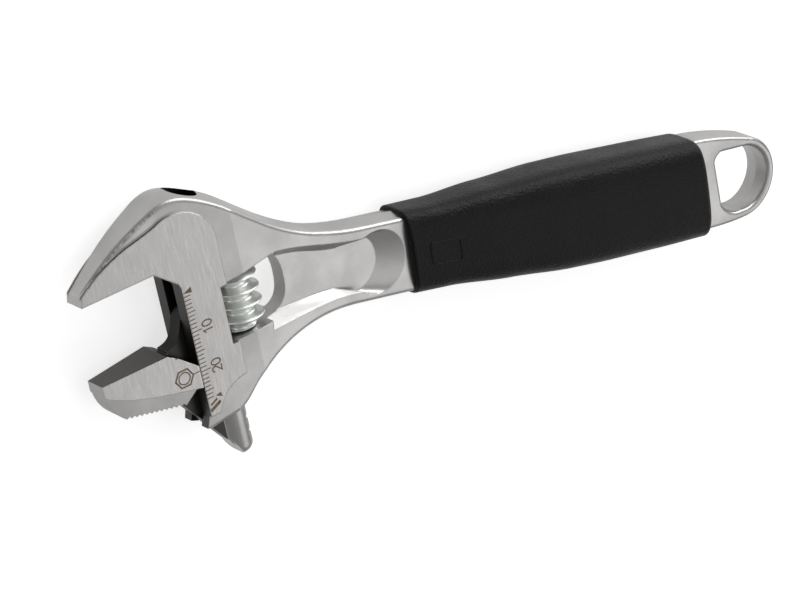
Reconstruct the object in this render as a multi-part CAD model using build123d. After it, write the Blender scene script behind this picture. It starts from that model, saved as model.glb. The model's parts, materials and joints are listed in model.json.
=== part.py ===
from build123d import *
import math
import os

# Adjustable wrench, 8 inch class, lying flat. Millimetres.
# X runs along the handle from the jaws to the hanging ring, Y across it towards the fixed jaw's
# side, Z is the thickness. Everything is drawn about the middle of the thickness, with X = 0 at
# the zero mark of the scale, and is moved onto the table at the end.
#
# The head has its own frame, turned by HEAD_ANGLE: J runs along the jaws towards the handle and
# S runs along the jaw slot towards the fixed jaw. Its origin is the zero mark on the slot wall.
# Points named ..._JS are in that frame, and points named ..._XY are in the handle's.

# ---- overall ------------------------------------------------------------------------------
LENGTH = 207.6
HEAD_ANGLE = 15.0
ZERO_MARK_Y = 3.0
CAPACITY = 27.0
REST_OPENING = 20.0
REACH = 140.0
DEEP = 12.0

# ---- jaws ---------------------------------------------------------------------------------
JAW_FACE_S = 7.22
JAW_DEPTH = 24.1
JAW_ROOT_J = -5.75
WALL_CLEARANCE = 0.12
JAW_STEP = 0.5
SERRATION_PITCH = 1.3
SERRATION_DEPTH = 0.55
# Heights on the sliding jaw, down from its gripping face.
MOVING_FACE_S = JAW_FACE_S - REST_OPENING
JAW_SETBACK = 0.15
NOSE_DROP = 2.2
TOE_J = -19.7
TOE_DROP = 10.3
HEEL_J = -5.0
HEEL_DROP = 13.6
BACK_DROP = 11.1
BACK_CUT_J = -1.8
RELIEF_JS = [(-7.2, 0), (-4.9, -1.4)]
RELIEF_DROP = 5.6
BAND_JS = [(-JAW_DEPTH - 1, -1.8), (-22.0, -4.1), (1, -11.5)]

# ---- rail, web and their passages ---------------------------------------------------------
RAIL_J = 8.2
RAIL_RADIUS = 3.55
RAIL_RISE = 7.28
RAIL_TOP_S = MOVING_FACE_S + RAIL_RISE
RAIL_LENGTH = 40.8
RAIL_LOW_S = RAIL_TOP_S - RAIL_LENGTH
RAIL_END_FILLET = 2.2
RAIL_END_SLANT = 15.3
WEB_HALF = 1.8
WEB_ROOT_J = -5.4
FIN_J = 1.2
SLIDE_CLEARANCE = 0.15
FIN_HEADROOM = 0.6
BORE_RADIUS = RAIL_RADIUS + SLIDE_CLEARANCE
WEB_SLOT_HALF = WEB_HALF + SLIDE_CLEARANCE

# ---- worm, its thread and the rack ---------------------------------------------------------
PITCH = 3.5
WORM_RADIUS = 6.1
WORM_ROOT_RADIUS = 4.1
DRUM_CLEARANCE = 0.25
WORM_J = RAIL_J + RAIL_RADIUS + DRUM_CLEARANCE + WORM_ROOT_RADIUS
THREAD_CREST = 0.9
THREAD_ROOT = 2.1
THREAD_BURY = 0.3
MESH_CLEARANCE = 0.15
WORM_END_CLEARANCE = 0.2
WINDOW_TOP_S = -2.6
WINDOW_BOTTOM_S = -17.1
WINDOW_EDGE = 1.15
WINDOW_CORNER_ROOM = 2.5
FINGER_ROOM = 6.5

# ---- pin and spring ------------------------------------------------------------------------
PIN_RADIUS = 1.62
PIN_TIP_S = 2.0
PIN_HEAD_RADIUS = PIN_RADIUS + 0.78
PIN_HEAD_LENGTH = 6.5
PIN_HEAD_S = -29.4
PIN_FIT = 0.03
PIN_RUNNING = 0.08
PIN_END_ROOM = 0.3
PIN_SLOT_WIDTH = 0.8
PIN_SLOT_DEPTH = 1.1
SPRING_WIRE_RADIUS = 0.3
SPRING_CLEARANCE = 0.33
SPRING_RADIUS = PIN_RADIUS + SPRING_CLEARANCE + SPRING_WIRE_RADIUS
SPRING_COILS = 5
SPRING_GAP = 0.12
POCKET_CLEARANCE = 0.4
POCKET_DEPTH = 5.6

# ---- head and neck forging -----------------------------------------------------------------
FLAT_HALF = 5.26
TAPER_SLOPE = 0.101
PAD_STEP = 0.65
NECK_HALF = 4.3
NECK_LEVEL_J = 40.0
SIDE_DRAW = 1.5
DRAW_HALF = 7.0
EDGE_ROUND = 1.2
JAW_NOSE = (0.15, 2.96)
JAW_BACK_BOW = 0.92
BROW_XY = (-9.4, 22.3)
CROWN_XY = [(-1.5, 26.1), (7.0, 24.3), (20.0, 18.0)]
# The hollow curve from the crown down to the neck's upper side bends between these two.
THROAT_XY = [(31.0, 12.2), (40.0, 9.8)]
CROWN_FALL = (THROAT_XY[0][0] - CROWN_XY[-1][0], THROAT_XY[0][1] - CROWN_XY[-1][1])
NECK_X = 52.0
NECK_TOP_Y = 9.8
NECK_BOTTOM_Y = -10.2
SHOULDER_XY = [(36.0, -12.6), (27.4, -17.0), (21.0, -23.4)]
# The slot's mouth flares out just below the sliding jaw's back corner at full opening.
MOUTH_S = JAW_FACE_S - CAPACITY - BACK_DROP - 0.5
LIP_JS = (-1.1, MOUTH_S - 3.1)
SLOT_TOE_JS = (0.6, MOUTH_S - 4.1)
SHOULDER_END_JS = (7.9, MOUTH_S - 3.3)
NOTCH_JS = [(0, 1.3), (-0.4, 2.5)]

# ---- ground flats --------------------------------------------------------------------------
PAD_RIGHT_J = 11.1
PAD_CROWN_JS = [(-11.3, 15.8), (-1.3, 18.6), (5.2, 18.2)]
PAD_SIDE_JS = (PAD_RIGHT_J - 0.4, 12.2)
PAD_JAW_BACK = (0.5, 2.2)
PAD_BOTTOM_S = MOUTH_S - 0.3
PAD_CORNER = 8.5

# ---- neck panel ----------------------------------------------------------------------------
PANEL_FLOOR_HALF = 2.0
PANEL_START_X = 25.0
PANEL_MIDDLE_X = 34.0
PANEL_END_X = 64.0
PANEL_TOP_Y = 6.2
PANEL_BOTTOM_Y = -6.6
PANEL_FLARE = 1.2
PANEL_WALL = 1.6
PANEL_SCOOP = 7.0
PANEL_END_DROP = 0.7
PANEL_END_ROUND = 12.0

# ---- ring ----------------------------------------------------------------------------------
RING_RADIUS = 10.4
RING_HALF = 4.07
HOLE_RADIUS = 8.26
HOLE_RIDGE = 0.45
HOLE_DRAFT = 6.0
RING_EDGE_ROUND = 0.9
RING_TANGENT = 78.0
# Corners of the D-shaped hole, from the ring's middle.
HOLE_LOW = (-6.7, -5.3)
HOLE_HIGH = (-9.6, 5.6)
HOLE_CORNER = (-7.9, 7.6)
HOLE_LOW_BOW = 1.1
HOLE_CORNER_BOW = 0.35

# ---- tang and grip -------------------------------------------------------------------------
GRIP_FRONT_X = 65.2
GRIP_TO_RING = 14.4
GRIP_END_SLANT = 12.0
SHOULDER_TO_RING = 16.0
RING_SHOULDER_HALF = 11.9
TANG_HALF = 8.6
TANG_FLARE = 30.0
TANG_OFFSET_Y = 0.45
TANG_OVERLAP = 4.0
GRIP_BELLY_HALF_WIDTH = 13.1
GRIP_SIDE_WALL = 1.8
GRIP_LIP = 0.2
GRIP_BACK_WALL = 1.0
GRIP_FRONT_COVER = 2.0
GRIP_WAIST_COVER = 2.5
GRIP_BELLY_COVER = 4.5
GRIP_BACK_COVER = 3.4
GRIP_CORNER = 0.62
GRIP_EDGE_FILLET = 1.4


def head(j, s):
    """A point of the head's own frame, as a point on the wrench's middle plane."""
    turn = math.radians(HEAD_ANGLE)
    x = j * math.cos(turn) - s * math.sin(turn)
    y = j * math.sin(turn) + s * math.cos(turn) + ZERO_MARK_Y
    return (x, y)


JAW_TIP_XY = head(-JAW_DEPTH, JAW_FACE_S)
RING_X = JAW_TIP_XY[0] + LENGTH - RING_RADIUS
RING_SHOULDER_X = RING_X - SHOULDER_TO_RING
GRIP_BACK_X = RING_X - GRIP_TO_RING
HEAD = Pos(0, ZERO_MARK_Y, 0) * Rot(0, 0, HEAD_ANGLE)
# A plane square to the slot: its local X is J and its normal is +S.
ACROSS_SLOT = Plane(origin=(0, 0, 0), x_dir=(1, 0, 0), z_dir=(0, 1, 0))


def flat(lines, half):
    """The closed outline as a plate, with the given half thickness."""
    return extrude(make_face(lines), amount=half, both=True)


def rod(j, radius, low, high):
    """A round bar along the slot direction, in the head's frame."""
    return Pos(j, (low + high) / 2, 0) * Rot(90, 0, 0) * Cylinder(radius, high - low)


def bowed(start, end, rise):
    """An arc from start to end that stands off its chord to the left by the given rise."""
    span = math.dist(start, end)
    normal = (-(end[1] - start[1]) / span, (end[0] - start[0]) / span)
    middle = ((start[0] + end[0]) / 2 + normal[0] * rise, (start[1] + end[1]) / 2 + normal[1] * rise)
    return ThreePointArc(start, middle, end)


def wedge(drop):
    """The room between the head's two tapering faces, in the head's frame."""
    start = -JAW_DEPTH - 4
    at_zero = FLAT_HALF - drop
    points = [
        (start, at_zero + TAPER_SLOPE * start),
        (WORM_J, at_zero + TAPER_SLOPE * WORM_J),
        (NECK_LEVEL_J, NECK_HALF),
        (2 * REACH, NECK_HALF),
    ]
    mirrored = [(j, -z) for j, z in reversed(points)]
    profile = Polyline(*points, *mirrored, close=True)
    return extrude(ACROSS_SLOT * make_face(profile), amount=REACH, both=True)


def lowered(points, amount):
    """The same points, each moved along Y by the given amount."""
    return [(x, y + amount) for x, y in points]


def notch_lines():
    """The fixed jaw's face and the small notch where it meets the slot wall, in the head's frame."""
    corner = (JAW_ROOT_J, JAW_FACE_S)
    return [
        Line(NOTCH_JS[0], NOTCH_JS[1]),
        Line(NOTCH_JS[1], corner),
        Line(corner, (-JAW_DEPTH, JAW_FACE_S)),
    ]


def forging_level(draw, lift):
    """One level of the forging. Its outer sides draw in by the given amount, its jaw sides don't."""
    nose = (JAW_TIP_XY[0] + JAW_NOSE[0], JAW_TIP_XY[1] + JAW_NOSE[1])
    brow = (BROW_XY[0], BROW_XY[1] - draw / 5)
    crown = lowered(CROWN_XY, -draw)
    throat = lowered(THROAT_XY, -draw)
    neck_high = (NECK_X, NECK_TOP_Y - draw)
    neck_low = (NECK_X, NECK_BOTTOM_Y + draw)
    end_high = (GRIP_FRONT_X + TANG_OVERLAP, NECK_TOP_Y - draw)
    end_low = (GRIP_FRONT_X + TANG_OVERLAP, NECK_BOTTOM_Y + draw)
    shoulder_end = lowered([head(*SHOULDER_END_JS)], draw / 2)[0]
    toe = lowered([head(*SLOT_TOE_JS)], draw / 2)[0]
    lip = head(*LIP_JS)
    mouth = head(0, MOUTH_S)
    level = make_face([
        Line(JAW_TIP_XY, nose),
        bowed(nose, brow, JAW_BACK_BOW),
        Spline([brow, *crown], tangents=[(1, 0.8), CROWN_FALL]),
        Bezier(crown[-1], *throat, neck_high),
        Line(neck_high, end_high),
        Line(end_high, end_low),
        Line(end_low, neck_low),
        Spline([neck_low, *lowered(SHOULDER_XY, draw), shoulder_end], tangents=[(-1, 0), (-1, -0.7)]),
        Line(shoulder_end, toe),
        Line(toe, lip),
        Line(lip, mouth),
        Line(mouth, head(*NOTCH_JS[0])),
        *[HEAD * line for line in notch_lines()],
    ])
    return Pos(0, 0, lift) * level


def outer_edges(forged):
    """The edges between the forging's two faces and its outer sides."""
    turn = math.radians(HEAD_ANGLE)
    chosen = []
    for edge in forged.edges():
        middle = edge @ 0.5
        j = middle.X * math.cos(turn) + (middle.Y - ZERO_MARK_Y) * math.sin(turn)
        s = (middle.Y - ZERO_MARK_Y) * math.cos(turn) - middle.X * math.sin(turn)
        tangent = edge % 0.5
        along_slot = abs(tangent.Y * math.cos(turn) - tangent.X * math.sin(turn)) > 0.999
        on_jaw_side = j < 1 and s < JAW_FACE_S + 0.5
        under_grip = middle.X > GRIP_FRONT_X + TANG_OVERLAP - 0.1
        on_face = abs(middle.Z) > NECK_HALF / 2
        if on_face and not (along_slot or on_jaw_side or under_grip):
            chosen.append(edge)
    return chosen


def forging():
    """Head and neck. The sides slope in from mid thickness, and their edges are rounded."""
    solid = loft([
        forging_level(SIDE_DRAW, -DRAW_HALF),
        forging_level(0, 0),
        forging_level(SIDE_DRAW, DRAW_HALF),
    ], ruled=True)
    solid = solid & (HEAD * wedge(PAD_STEP))
    return fillet(outer_edges(solid), EDGE_ROUND)


def pad_outline():
    """The ground flat on each face, in the head's frame: fixed jaw, crown and scale strip."""
    tip = (-JAW_DEPTH, JAW_FACE_S)
    jaw_back = (tip[0] + PAD_JAW_BACK[0], tip[1] + PAD_JAW_BACK[1])
    crown = PAD_CROWN_JS
    strip_high = (PAD_RIGHT_J, PAD_SIDE_JS[1] - 2)
    strip_low = (PAD_RIGHT_J, PAD_BOTTOM_S + PAD_CORNER * 0.75)
    bottom = (PAD_RIGHT_J - PAD_CORNER, PAD_BOTTOM_S)
    return [
        Line(tip, jaw_back),
        Spline([jaw_back, crown[0], crown[1]], tangents=[(1, 0.75), (1, 0.5)]),
        ThreePointArc(crown[1], crown[2], PAD_SIDE_JS),
        Line(PAD_SIDE_JS, strip_high),
        Line(strip_high, strip_low),
        bowed(strip_low, bottom, -PAD_CORNER / 5),
        Line(bottom, (0, PAD_BOTTOM_S)),
        Line((0, PAD_BOTTOM_S), NOTCH_JS[0]),
        *notch_lines(),
    ]


def window_outline():
    """The opening that the worm sits in. It runs on to a rounded end in the neck's panel."""
    left = RAIL_J + WINDOW_EDGE
    corner_j = WORM_J + WORM_RADIUS + WINDOW_CORNER_ROOM
    high = (corner_j, WINDOW_TOP_S + 1.1)
    far = (WORM_J + WORM_RADIUS + FINGER_ROOM, (WINDOW_TOP_S + WINDOW_BOTTOM_S) / 2 - 0.8)
    low = (corner_j, WINDOW_BOTTOM_S)
    return [
        Line((left, WINDOW_TOP_S), high),
        Spline([high, far, low], tangents=[(1, -0.7), (-1, -0.25)]),
        Line(low, (left, WINDOW_BOTTOM_S)),
        Line((left, WINDOW_BOTTOM_S), (left, WINDOW_TOP_S)),
    ]


def panel_level(top, end_x, bottom, lift):
    """One level of the spoon-ended panel in the neck. Its open end lies in the worm's window."""
    round_x = end_x - PANEL_END_ROUND
    start_high = (PANEL_START_X, top + PANEL_FLARE)
    start_low = (PANEL_START_X, bottom - 2 * PANEL_FLARE)
    high = (round_x, top)
    low = (round_x, bottom)
    end = (end_x, (top + bottom) / 2 - PANEL_END_DROP)
    level = make_face([
        Spline([start_high, (PANEL_MIDDLE_X, top + PANEL_FLARE), high], tangents=[(1, 0.1), (1, 0)]),
        ThreePointArc(high, end, low),
        Spline([low, (PANEL_MIDDLE_X, bottom - PANEL_FLARE), start_low], tangents=[(-1, 0), (-1, -0.1)]),
        Line(start_low, start_high),
    ])
    return Pos(0, 0, lift) * level


def panel_recess():
    """One face's panel, with sloping walls from the rim down to the floor."""
    depth = NECK_HALF - PANEL_FLOOR_HALF
    levels = []
    for step in (-1, 0, 1):
        levels.append(panel_level(
            PANEL_TOP_Y + step * PANEL_WALL,
            PANEL_END_X + step * PANEL_SCOOP,
            PANEL_BOTTOM_Y - step * PANEL_WALL,
            NECK_HALF + step * depth,
        ))
    return loft(levels, ruled=True)


def ring_outline():
    """Tang under the grip and the ring beyond it."""
    start = GRIP_FRONT_X + TANG_OVERLAP - 0.1
    flare_x = GRIP_FRONT_X + TANG_FLARE
    lean = math.radians(RING_TANGENT)
    top = (RING_X + RING_RADIUS * math.cos(lean), RING_RADIUS * math.sin(lean))
    bottom = (top[0], -top[1])
    upper_shoulder = (RING_SHOULDER_X, RING_SHOULDER_HALF + TANG_OFFSET_Y)
    lower_shoulder = (RING_SHOULDER_X, TANG_OFFSET_Y - RING_SHOULDER_HALF)
    return [
        Line((start, TANG_HALF), (flare_x, TANG_HALF)),
        Line((flare_x, TANG_HALF), upper_shoulder),
        Spline([upper_shoulder, top], tangents=[(1, -0.02), (1, -0.21)]),
        ThreePointArc(top, (RING_X + RING_RADIUS, 0), bottom),
        Spline([bottom, lower_shoulder], tangents=[(-1, -0.21), (-1, 0)]),
        Line(lower_shoulder, (flare_x, -TANG_HALF)),
        Line((flare_x, -TANG_HALF), (start, -TANG_HALF)),
        Line((start, -TANG_HALF), (start, TANG_HALF)),
    ]


def hole_half(radius):
    """The D-shaped hanging hole. Its straight side runs parallel to the jaw slot."""
    low = (RING_X + HOLE_LOW[0], HOLE_LOW[1])
    high = (RING_X + HOLE_HIGH[0], HOLE_HIGH[1])
    corner = (RING_X + HOLE_CORNER[0], HOLE_CORNER[1])
    top = (RING_X, radius)
    bottom = (RING_X, -radius)
    return make_face([
        Line(corner, top),
        ThreePointArc(top, (RING_X + radius, 0), bottom),
        bowed(bottom, low, HOLE_LOW_BOW),
        Line(low, high),
        bowed(high, corner, HOLE_CORNER_BOW),
    ])


def hanging_hole():
    """The hole narrows to a ridge at mid thickness, as forged."""
    narrow = hole_half(HOLE_RADIUS - HOLE_RIDGE)
    upper = extrude(narrow, amount=RING_HALF + 1, taper=-HOLE_DRAFT)
    return upper + mirror(upper, about=Plane.XY)


def slot_cut():
    """The thin slot for the jaw's web, cut up into the fixed jaw so that the fin can rise."""
    top = RAIL_TOP_S + REST_OPENING + FIN_HEADROOM
    left = JAW_ROOT_J - 3
    lines = Polyline(
        (RAIL_J, -REACH), (RAIL_J, top), (0.4, top), (-0.8, top - 2.8), (-1.9, top - 6.0), (-3.6, top - 7.5),
        (left, JAW_FACE_S - 0.5), (left, -REACH), close=True,
    )
    return flat(lines, WEB_SLOT_HALF)


def tang_and_ring():
    """Tang and hanging ring, with rounded edges outside the ring and round its hole."""
    ring = flat(ring_outline(), RING_HALF) - hanging_hole()
    rims = []
    for edge in ring.edges():
        middle = edge @ 0.5
        if abs(middle.Z) > RING_HALF - 0.1 and middle.X > RING_SHOULDER_X - 1:
            rims.append(edge)
    return fillet(rims, RING_EDGE_ROUND)


def make_body():
    """Forging with the fixed jaw, ground flats, neck panel, tang and ring, then every passage."""
    pads = HEAD * (flat(pad_outline(), DEEP) & wedge(0))
    panel = panel_recess()
    pin_low = WINDOW_BOTTOM_S - 9
    passages = [
        HEAD * rod(RAIL_J, BORE_RADIUS, -REACH / 2, REACH / 2),
        HEAD * slot_cut(),
        HEAD * flat(window_outline(), DEEP),
        panel,
        mirror(panel, about=Plane.XY),
        HEAD * rod(WORM_J, PIN_RADIUS + PIN_FIT, pin_low, PIN_TIP_S + PIN_END_ROOM),
        HEAD * rod(WORM_J, PIN_HEAD_RADIUS + PIN_FIT, -REACH / 2, PIN_HEAD_S + PIN_HEAD_LENGTH),
    ]
    body = forging() + pads + tang_and_ring()
    for passage in passages:
        body = body - passage
    return body


def serrated_edge(start, end):
    """A row of sharp teeth from start to end, cut to the right of that direction."""
    span = math.dist(start, end)
    count = round(span / SERRATION_PITCH)
    along = ((end[0] - start[0]) / span, (end[1] - start[1]) / span)
    inward = (-along[1], along[0])
    points = []
    for tooth in range(count):
        at = span * tooth / count
        root = at + span / count / 2
        points.append((start[0] + along[0] * at, start[1] + along[1] * at))
        points.append((start[0] + along[0] * root + inward[0] * SERRATION_DEPTH,
                       start[1] + along[1] * root + inward[1] * SERRATION_DEPTH))
    return points + [end]


def jaw_block():
    """The full-thickness part of the sliding jaw, with its ground upper face band."""
    face = MOVING_FACE_S
    back = -WALL_CLEARANCE
    tip = (-JAW_DEPTH + JAW_SETBACK, face)
    nose = (tip[0], face - NOSE_DROP)
    toe = (TOE_J, face - TOE_DROP)
    heel = (HEEL_J, face - HEEL_DROP)
    heel_top = (BACK_CUT_J, face - BACK_DROP)
    relief = [(j, face + drop) for j, drop in RELIEF_JS]
    outline = [
        Line(tip, nose),
        bowed(nose, toe, -JAW_BACK_BOW),
        Polyline(*serrated_edge(toe, heel)),
        Line(heel, heel_top),
        Line(heel_top, (back, heel_top[1])),
        Line((back, heel_top[1]), (back, face - RELIEF_DROP)),
        Line((back, face - RELIEF_DROP), relief[1]),
        Line(relief[1], relief[0]),
        Line(relief[0], tip),
    ]
    band_edge = [(j, face + drop) for j, drop in BAND_JS]
    band = [
        Line((band_edge[0][0], face + 1), band_edge[0]),
        Spline(band_edge, tangents=[(1, -1.1), (1, -0.3)]),
        Line(band_edge[2], (band_edge[2][0], face + 1)),
        Line((band_edge[2][0], face + 1), (band_edge[0][0], face + 1)),
    ]
    lower = flat(outline, DEEP) & wedge(JAW_STEP)
    upper = flat(outline, DEEP) & flat(band, DEEP) & wedge(0)
    return lower + upper


def jaw_web():
    """The thin web between jaw and rail, with the fin above and the slanting end below."""
    root = (WEB_ROOT_J, MOVING_FACE_S - 0.3)
    fin = [(FIN_J, RAIL_TOP_S), (FIN_J - 1.5, RAIL_TOP_S - 2.5), (FIN_J - 3.4, RAIL_TOP_S - 6.5), root]
    low = (WEB_ROOT_J, MOVING_FACE_S - HEEL_DROP + 0.4)
    end = (RAIL_J, RAIL_LOW_S + 0.2)
    return flat([
        Line((RAIL_J, RAIL_TOP_S), fin[0]),
        Spline(fin, tangents=[(-0.8, -1), (-1, 0.02)]),
        Line(root, low),
        Line(low, end),
        Line(end, (RAIL_J, RAIL_TOP_S)),
    ], WEB_HALF)


def groove_width(radius):
    """Width of a rack groove where the worm's thread has the given radius."""
    flank = (THREAD_ROOT - THREAD_CREST) / (WORM_RADIUS - WORM_ROOT_RADIUS)
    return THREAD_CREST + (WORM_RADIUS - radius) * flank + 2 * MESH_CLEARANCE


def rack_groove(s):
    """One groove across the rail, slanted to follow the worm's left-hand thread."""
    root_radius = WORM_RADIUS + MESH_CLEARANCE
    mouth_radius = WORM_ROOT_RADIUS - 0.6
    root = groove_width(root_radius) / 2
    mouth = groove_width(mouth_radius) / 2
    profile = Polyline(
        (WORM_J - root_radius, s - root), (WORM_J - mouth_radius, s - mouth),
        (WORM_J - mouth_radius, s + mouth), (WORM_J - root_radius, s + root), close=True,
    )
    lead = PITCH / (math.pi * (WORM_RADIUS + WORM_ROOT_RADIUS))
    return extrude(make_face(profile), amount=RAIL_RADIUS + 1, dir=(0, -lead, 1), both=True)


def make_jaw():
    """Sliding jaw: block, web and round rail with its rack teeth."""
    rail = rod(RAIL_J, RAIL_RADIUS, RAIL_LOW_S, RAIL_TOP_S)
    rail = fillet(rail.edges().group_by(Axis.Y)[0], RAIL_END_FILLET)
    slant_j = RAIL_J - 2 * RAIL_RADIUS - 1
    slant = Polyline(
        (slant_j, RAIL_LOW_S + RAIL_END_SLANT), (slant_j, RAIL_LOW_S - 4),
        (RAIL_J + RAIL_RADIUS / 2, RAIL_LOW_S - 4), close=True,
    )
    jaw = jaw_block() + jaw_web() + (rail - flat(slant, DEEP))
    middle = (WINDOW_TOP_S + WINDOW_BOTTOM_S) / 2
    above = math.ceil((RAIL_TOP_S - middle) / PITCH)
    for index in range(math.floor(RAIL_LENGTH / PITCH) + 1):
        at = middle + PITCH * (above - index)
        if at > RAIL_LOW_S + RAIL_END_FILLET:
            jaw = jaw - rack_groove(at)
    return HEAD * jaw


def worm_thread(middle, room):
    """The left-hand thread. An odd number of turns leaves it in mesh with the rack."""
    turns = 2 * math.floor(((room - THREAD_ROOT) / PITCH - 1) / 2) + 1
    depth = WORM_RADIUS - WORM_ROOT_RADIUS
    crest = THREAD_CREST / 2
    base = THREAD_ROOT / 2 + THREAD_BURY * (THREAD_ROOT - THREAD_CREST) / 2 / depth
    coil = Helix(pitch=PITCH, height=turns * PITCH, radius=WORM_ROOT_RADIUS, lefthand=True)
    across = Plane(origin=coil @ 0, x_dir=(1, 0, 0), z_dir=(0, -1, 0))
    profile = make_face(Polyline(
        (-THREAD_BURY, -base), (depth, -crest), (depth, crest), (-THREAD_BURY, base), close=True))
    thread = sweep(across * profile, path=coil, is_frenet=True)
    return Pos(0, 0, middle - turns * PITCH / 2) * thread


def make_worm():
    """Adjusting worm: threaded drum with a through bore and a pocket for the spring."""
    low = WINDOW_BOTTOM_S + WORM_END_CLEARANCE
    high = WINDOW_TOP_S - WORM_END_CLEARANCE
    middle = (low + high) / 2
    worm = Pos(0, 0, middle) * Cylinder(WORM_ROOT_RADIUS, high - low) + worm_thread(middle, high - low)
    worm = worm - Pos(0, 0, middle) * Cylinder(PIN_RADIUS + PIN_RUNNING, 2 * (high - low))
    pocket = Cylinder(SPRING_RADIUS + SPRING_WIRE_RADIUS + POCKET_CLEARANCE, POCKET_DEPTH)
    worm = worm - Pos(0, 0, high - POCKET_DEPTH / 2) * pocket
    return HEAD * Pos(WORM_J, 0, 0) * Rot(-90, 0, 0) * worm


def make_pin():
    """Pin with a threaded, slotted head. It is screwed in from the lower shoulder."""
    shank = rod(WORM_J, PIN_RADIUS, PIN_HEAD_S + 1, PIN_TIP_S)
    screw = rod(WORM_J, PIN_HEAD_RADIUS, PIN_HEAD_S, PIN_HEAD_S + PIN_HEAD_LENGTH)
    slot = Pos(WORM_J, PIN_HEAD_S, 0) * Box(4 * PIN_HEAD_RADIUS, 2 * PIN_SLOT_DEPTH, PIN_SLOT_WIDTH)
    return HEAD * (shank + screw - slot)


def make_spring():
    """Compression spring that takes up the worm's end play."""
    top = WINDOW_TOP_S - SPRING_WIRE_RADIUS - SPRING_GAP / 6
    bottom = WINDOW_TOP_S - WORM_END_CLEARANCE - POCKET_DEPTH + SPRING_WIRE_RADIUS + SPRING_GAP
    height = top - bottom
    coil = Helix(pitch=height / SPRING_COILS, height=height, radius=SPRING_RADIUS)
    wire = Plane(origin=coil @ 0, z_dir=coil % 0) * Circle(SPRING_WIRE_RADIUS)
    spring = sweep(wire, path=coil, is_frenet=True)
    return HEAD * Pos(WORM_J, bottom, 0) * Rot(-90, 0, 0) * spring


def grip_section(x, half_width, cover):
    """One rounded section across the handle, with the given cover over the steel."""
    half = NECK_HALF + cover
    across = Plane(origin=(x, 0, 0), x_dir=(0, 1, 0), z_dir=(1, 0, 0))
    return across * RectangleRounded(2 * half_width, 2 * half, GRIP_CORNER * half)


def end_block(x, side):
    """Everything beyond a slanted grip end, on the given side of it."""
    block = Pos(side * REACH / 2, 0, 0) * Box(REACH, REACH, REACH)
    return Pos(x, 0, 0) * Rot(0, 0, GRIP_END_SLANT) * block


def make_grip(body):
    """Moulded sleeve, fitted closely over the tang."""
    length = GRIP_BACK_X - GRIP_FRONT_X
    front = GRIP_LIP - NECK_BOTTOM_Y
    waist = TANG_HALF + GRIP_SIDE_WALL
    back = RING_SHOULDER_HALF + GRIP_BACK_WALL
    stations = [
        grip_section(GRIP_FRONT_X - 8, front, GRIP_FRONT_COVER),
        grip_section(GRIP_FRONT_X + 0.1 * length, waist, GRIP_WAIST_COVER),
        grip_section(GRIP_FRONT_X + 0.28 * length, (waist + GRIP_BELLY_HALF_WIDTH) / 2,
                     (GRIP_WAIST_COVER + GRIP_BELLY_COVER) / 2),
        grip_section(GRIP_FRONT_X + 0.55 * length, GRIP_BELLY_HALF_WIDTH, GRIP_BELLY_COVER),
        grip_section(GRIP_BACK_X + 6, back, GRIP_BACK_COVER),
    ]
    sleeve = loft(stations)
    sleeve = sleeve - end_block(GRIP_FRONT_X, -1) - end_block(GRIP_BACK_X, 1)
    ends = sleeve.faces().sort_by(Axis.X)
    sleeve = fillet(ends[-1].edges(), GRIP_EDGE_FILLET)
    return sleeve - body


def build():
    """Every sub-part in the drawing frame, by node name."""
    body = make_body()
    return {
        "wrench_body": body,
        "movable_jaw": make_jaw(),
        "adjusting_worm": make_worm(),
        "worm_pin": make_pin(),
        "worm_spring": make_spring(),
        "grip_sleeve": make_grip(body),
    }


def table_shift(pieces):
    """From the drawing frame to the middle of the space the wrench takes up, on the table."""
    boxes = [piece.bounding_box() for piece in pieces.values()]
    middle_x = (min(b.min.X for b in boxes) + max(b.max.X for b in boxes)) / 2
    middle_y = (min(b.min.Y for b in boxes) + max(b.max.Y for b in boxes)) / 2
    return (-middle_x, -middle_y, -min(b.min.Z for b in boxes))


os.makedirs("parts", exist_ok=True)
PIECES = build()
SHIFT = table_shift(PIECES)
for name, piece in PIECES.items():
    export_step(Pos(*SHIFT) * piece, "parts/" + name + ".step")
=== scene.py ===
import json
import logging
import math
from collections.abc import Callable, Sequence
from dataclasses import dataclass, field
from enum import Enum

import bmesh
import bpy
from mathutils import Matrix, Vector


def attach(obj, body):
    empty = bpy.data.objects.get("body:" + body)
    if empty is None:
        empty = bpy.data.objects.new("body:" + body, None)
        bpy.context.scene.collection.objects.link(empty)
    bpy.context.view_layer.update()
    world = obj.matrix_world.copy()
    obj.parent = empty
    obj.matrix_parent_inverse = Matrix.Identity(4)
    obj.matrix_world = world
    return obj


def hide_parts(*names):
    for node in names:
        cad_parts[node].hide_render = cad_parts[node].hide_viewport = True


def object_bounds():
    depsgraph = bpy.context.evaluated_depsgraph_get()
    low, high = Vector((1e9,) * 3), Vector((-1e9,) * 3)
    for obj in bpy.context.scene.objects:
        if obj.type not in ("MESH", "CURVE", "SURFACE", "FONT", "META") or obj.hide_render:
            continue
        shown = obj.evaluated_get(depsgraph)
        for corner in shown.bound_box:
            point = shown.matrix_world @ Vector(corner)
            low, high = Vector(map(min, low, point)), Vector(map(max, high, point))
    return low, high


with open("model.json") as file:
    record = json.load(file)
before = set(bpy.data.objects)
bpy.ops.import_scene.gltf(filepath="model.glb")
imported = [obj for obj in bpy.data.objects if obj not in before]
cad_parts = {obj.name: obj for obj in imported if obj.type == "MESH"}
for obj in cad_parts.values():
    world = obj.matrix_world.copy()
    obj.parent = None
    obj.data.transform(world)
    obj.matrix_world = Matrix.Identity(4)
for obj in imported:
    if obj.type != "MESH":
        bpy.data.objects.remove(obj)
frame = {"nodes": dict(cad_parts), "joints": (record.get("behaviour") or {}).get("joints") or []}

log = logging.getLogger("wrench")
MM = 0.001
CAD_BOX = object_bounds()

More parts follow.
